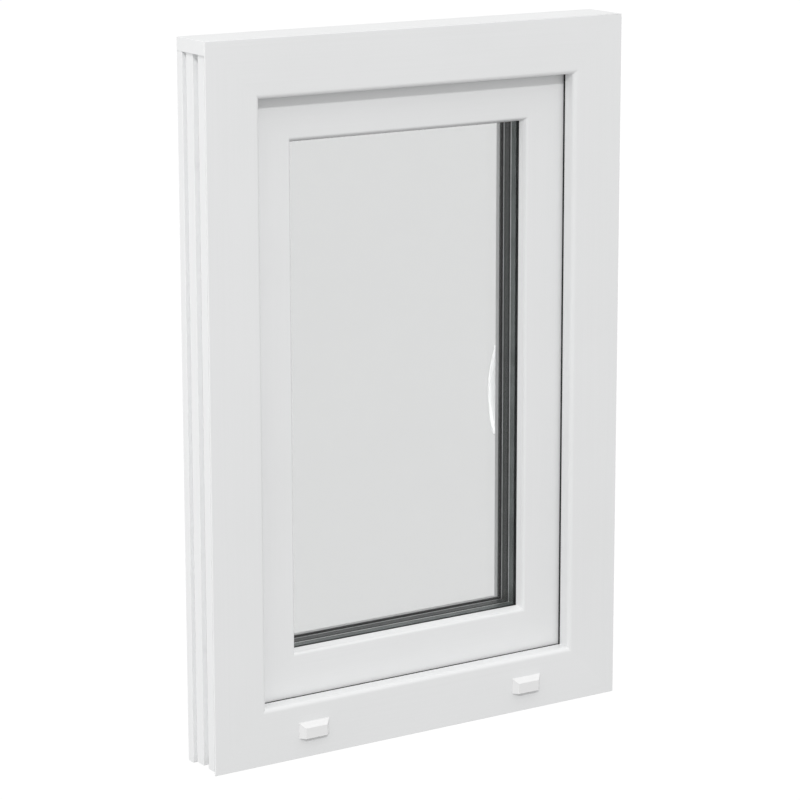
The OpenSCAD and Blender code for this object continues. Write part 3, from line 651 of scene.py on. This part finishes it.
# Studio: a glowing white floor and backdrop that neither light the window nor mirror in it.
# The room that lights it is brighter left and right than before and behind, and dimmer below.
FLOOR = 60.0
FLOOR_Z = -0.0005
SPREADS = {"Y": (0.0, 0.9, 1.2, 0.83), "Z": (-0.9, 0.9, 0.55, 1.1)}
bpy.ops.mesh.primitive_plane_add(size=2 * FLOOR)
floor = bpy.context.object
floor.name = "floor"
floor.location.z = FLOOR_Z
floor.visible_diffuse = False
floor.visible_glossy = False
paint = Paint("studio_floor")
floor.data.materials.append(paint.close(paint.principled(
    Base_Color=paint.blend(paint.noise(3.0), tint(0.02), tint(0.025)), Roughness=0.9,
    Specular_IOR_Level=0.0, Emission_Color=tint(1.0), Emission_Strength=1.0)))
floor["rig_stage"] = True

world = bpy.data.worlds.new("studio")
bpy.context.scene.world = world
world.use_nodes = True
room = world.node_tree
room.nodes.clear()
direction = room.nodes.new("ShaderNodeTexCoord")
split = room.nodes.new("ShaderNodeSeparateXYZ")
glow = room.nodes.new("ShaderNodeBackground")
room_out = room.nodes.new("ShaderNodeOutputWorld")
product = room.nodes.new("ShaderNodeMath")
product.operation = "MULTIPLY"
room.links.new(direction.outputs["Generated"], split.inputs[0])
square = room.nodes.new("ShaderNodeMath")
square.operation = "MULTIPLY"
room.links.new(split.outputs["Y"], square.inputs[0])
room.links.new(split.outputs["Y"], square.inputs[1])
heights = {"Y": square.outputs[0], "Z": split.outputs["Z"]}
for slot, (axis, (low, high, at_low, at_high)) in enumerate(SPREADS.items()):
    spread = room.nodes.new("ShaderNodeMapRange")
    spread.interpolation_type = "SMOOTHSTEP"
    limits = {"From Min": low, "From Max": high, "To Min": at_low, "To Max": at_high}
    for key, value in limits.items():
        spread.inputs[key].default_value = value
    room.links.new(heights[axis], spread.inputs["Value"])
    room.links.new(spread.outputs["Result"], product.inputs[slot])
room.links.new(product.outputs[0], glow.inputs["Strength"])
backdrop = room.nodes.new("ShaderNodeBackground")
backdrop.inputs["Color"].default_value = tint(1.0)
seen = room.nodes.new("ShaderNodeLightPath")
either = room.nodes.new("ShaderNodeMixShader")
room.links.new(seen.outputs["Is Camera Ray"], either.inputs[0])
room.links.new(glow.outputs[0], either.inputs[1])
room.links.new(backdrop.outputs[0], either.inputs[2])
room.links.new(either.outputs[0], room_out.inputs[0])
bpy.context.scene.view_settings.view_transform = "Standard"

# Lamps: a small key high in front on the left, which draws the shade under the head, a broad
# panel that fills the jamb's grooves, and a spot on the lever alone, past the sash and glass.


KEY_AWAY = 10.0
KEY_RISE = math.radians(33)
KEY_SIDE = math.radians(29)
KEY_WATTS = 292
KEY_SIZE = 0.6
PANEL_AT = (-3.2, 0.5, 0.9)
PANEL_WATTS = 17
PANEL_SIZE = 1.8
SPOT_AT = (-2.0, -1.25, 0.95)
SPOT_TARGET = (0.211, 0.075, 0.39)
SPOT_WATTS = 330
SPOT_ANGLE = math.radians(14)
SPOT_SOFT = 0.15
MIDDLE = Vector((0, 0, 0.45))


def lamp(name, kind, place, target, energy, size):
    data = bpy.data.lights.new(name, kind)
    data.energy = energy
    if kind == "AREA":
        data.shape = "DISK"
        data.size = size
    else:
        data.spot_size = size
        data.spot_blend = 1.0
        data.shadow_soft_size = SPOT_SOFT
    thing = bpy.data.objects.new(name, data)
    thing.location = place
    aim = Vector(target) - Vector(place)
    thing.rotation_euler = aim.to_track_quat("-Z", "Y").to_euler()
    bpy.context.scene.collection.objects.link(thing)
    return thing


key_way = Vector((-math.sin(KEY_SIDE) * math.cos(KEY_RISE),
                  -math.cos(KEY_SIDE) * math.cos(KEY_RISE), math.sin(KEY_RISE)))
lamp("key", "AREA", MIDDLE + KEY_AWAY * key_way, MIDDLE, KEY_WATTS, KEY_SIZE)
lamp("panel", "AREA", PANEL_AT, MIDDLE, PANEL_WATTS, PANEL_SIZE)
spot = lamp("spot", "SPOT", SPOT_AT, SPOT_TARGET, SPOT_WATTS, SPOT_ANGLE)
picked_out = bpy.data.collections.new("picked_out")
picked_out.objects.link(lever)
spot.light_linking.receiver_collection = picked_out
spot.light_linking.blocker_collection = picked_out

low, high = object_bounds()
